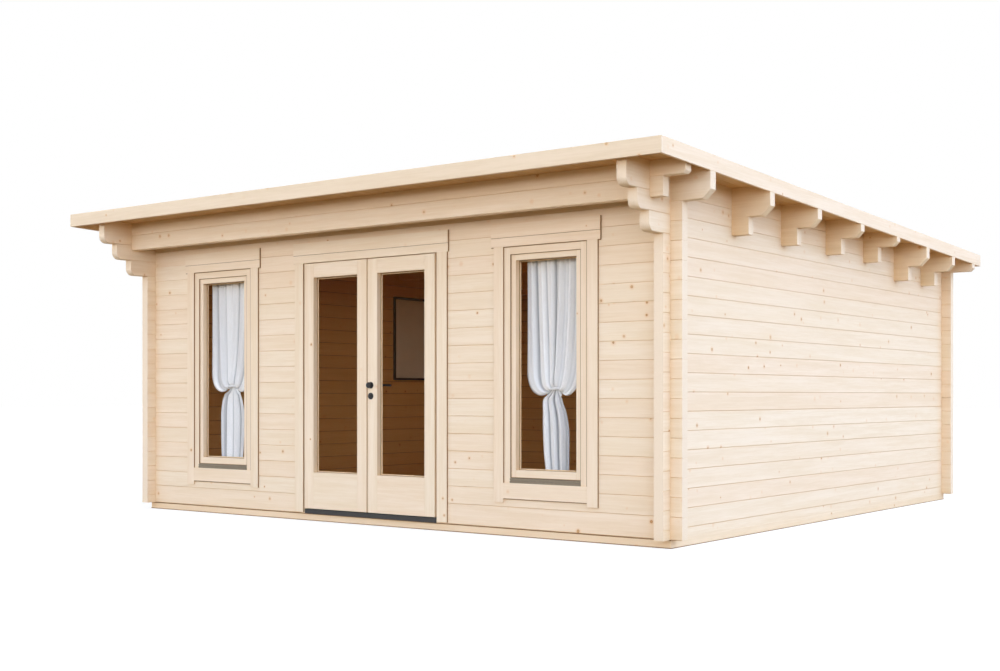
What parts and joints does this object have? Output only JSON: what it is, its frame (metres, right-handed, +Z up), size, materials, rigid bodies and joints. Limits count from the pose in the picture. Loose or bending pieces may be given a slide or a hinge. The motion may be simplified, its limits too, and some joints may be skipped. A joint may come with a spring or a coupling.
{
  "type": "garden chalet",
  "caption": "Garden chalet of interlocked logs under one shallow roof, with a hinged glazed double door, tall side windows, stepped corbels and purlin ends.",
  "frame": {"origin": "on the ground under the middle of the roof's outline", "axes": "+Z up, the front with the double door faces -Y, +X to the right seen from the front"},
  "size_m": [5.784, 5.972, 2.5268],
  "materials": {
    "black_metal": "satin black",
    "clear_glass": "clear glass",
    "curtain_cloth": "sheer white cloth",
    "dark_frame": "dark stained wood",
    "door_spruce": "laminated spruce, clear finish",
    "floor_spruce": "spruce floor boards",
    "grey_metal": "grey coated",
    "hinge_steel": "plated",
    "log_spruce": "planed spruce, clear finish",
    "picture_board": "plain pale board",
    "rod_steel": "white coated",
    "roof_felt": "mineral bitumen felt",
    "trim_spruce": "planed spruce boards, clear finish"
  },
  "bodies": {
    "root": {"back_fascia": "trim_spruce", "back_wall_even_logs": "log_spruce", "back_wall_odd_logs": "log_spruce", "curtain_rods": "rod_steel", "door_frame_hinges": "hinge_steel", "door_head": "door_spruce", "door_header": "trim_spruce", "door_jambs": "door_spruce", "door_side_trims": "trim_spruce", "door_threshold": "grey_metal", "eaves_beam_lower_log": "log_spruce", "eaves_beam_upper_log": "log_spruce", "floor": "floor_spruce", "floor_joists": "floor_spruce", "front_and_back_bearers": "log_spruce", "front_fascia": "trim_spruce", "front_wall_even_logs": "log_spruce", "front_wall_odd_logs": "log_spruce", "left_curtain": "curtain_cloth", "left_wall_even_logs": "log_spruce", "left_wall_odd_logs": "log_spruce", "picture_board": "picture_board", "picture_frame": "dark_frame", "purlin_brackets": "log_spruce", "purlins": "log_spruce", "right_curtain": "curtain_cloth", "right_wall_even_logs": "log_spruce", "right_wall_odd_logs": "log_spruce", "roof_deck": "log_spruce", "roof_felt": "roof_felt", "side_bearers": "log_spruce", "side_fascias": "trim_spruce", "window_drip_bars": "grey_metal", "window_frame_heads_and_sills": "door_spruce", "window_frame_jambs": "door_spruce", "window_headers": "trim_spruce", "window_panes": "clear_glass", "window_sash_rails": "door_spruce", "window_sash_stiles": "door_spruce", "window_side_trims": "trim_spruce", "window_sill_boards": "trim_spruce"},
    "left_leaf": {"left_leaf_glass": "clear_glass", "left_leaf_hinges": "hinge_steel", "left_leaf_rails": "door_spruce", "left_leaf_stiles": "door_spruce"},
    "right_leaf": {"right_leaf_glass": "clear_glass", "right_leaf_hinges": "hinge_steel", "right_leaf_rails": "door_spruce", "right_leaf_stiles": "door_spruce", "door_furniture": "black_metal"}
  },
  "joints": [
    {"name": "left_door_hinge", "type": "hinge", "parent": "root", "child": "left_leaf", "pos_m": [-0.711, -2.307, 1.054], "axis": [0, 0, 1], "range_deg": [0, 100]},
    {"name": "right_door_hinge", "type": "hinge", "parent": "root", "child": "right_leaf", "pos_m": [0.671, -2.307, 1.054], "axis": [0, 0, -1], "range_deg": [0, 100]}
  ]
}
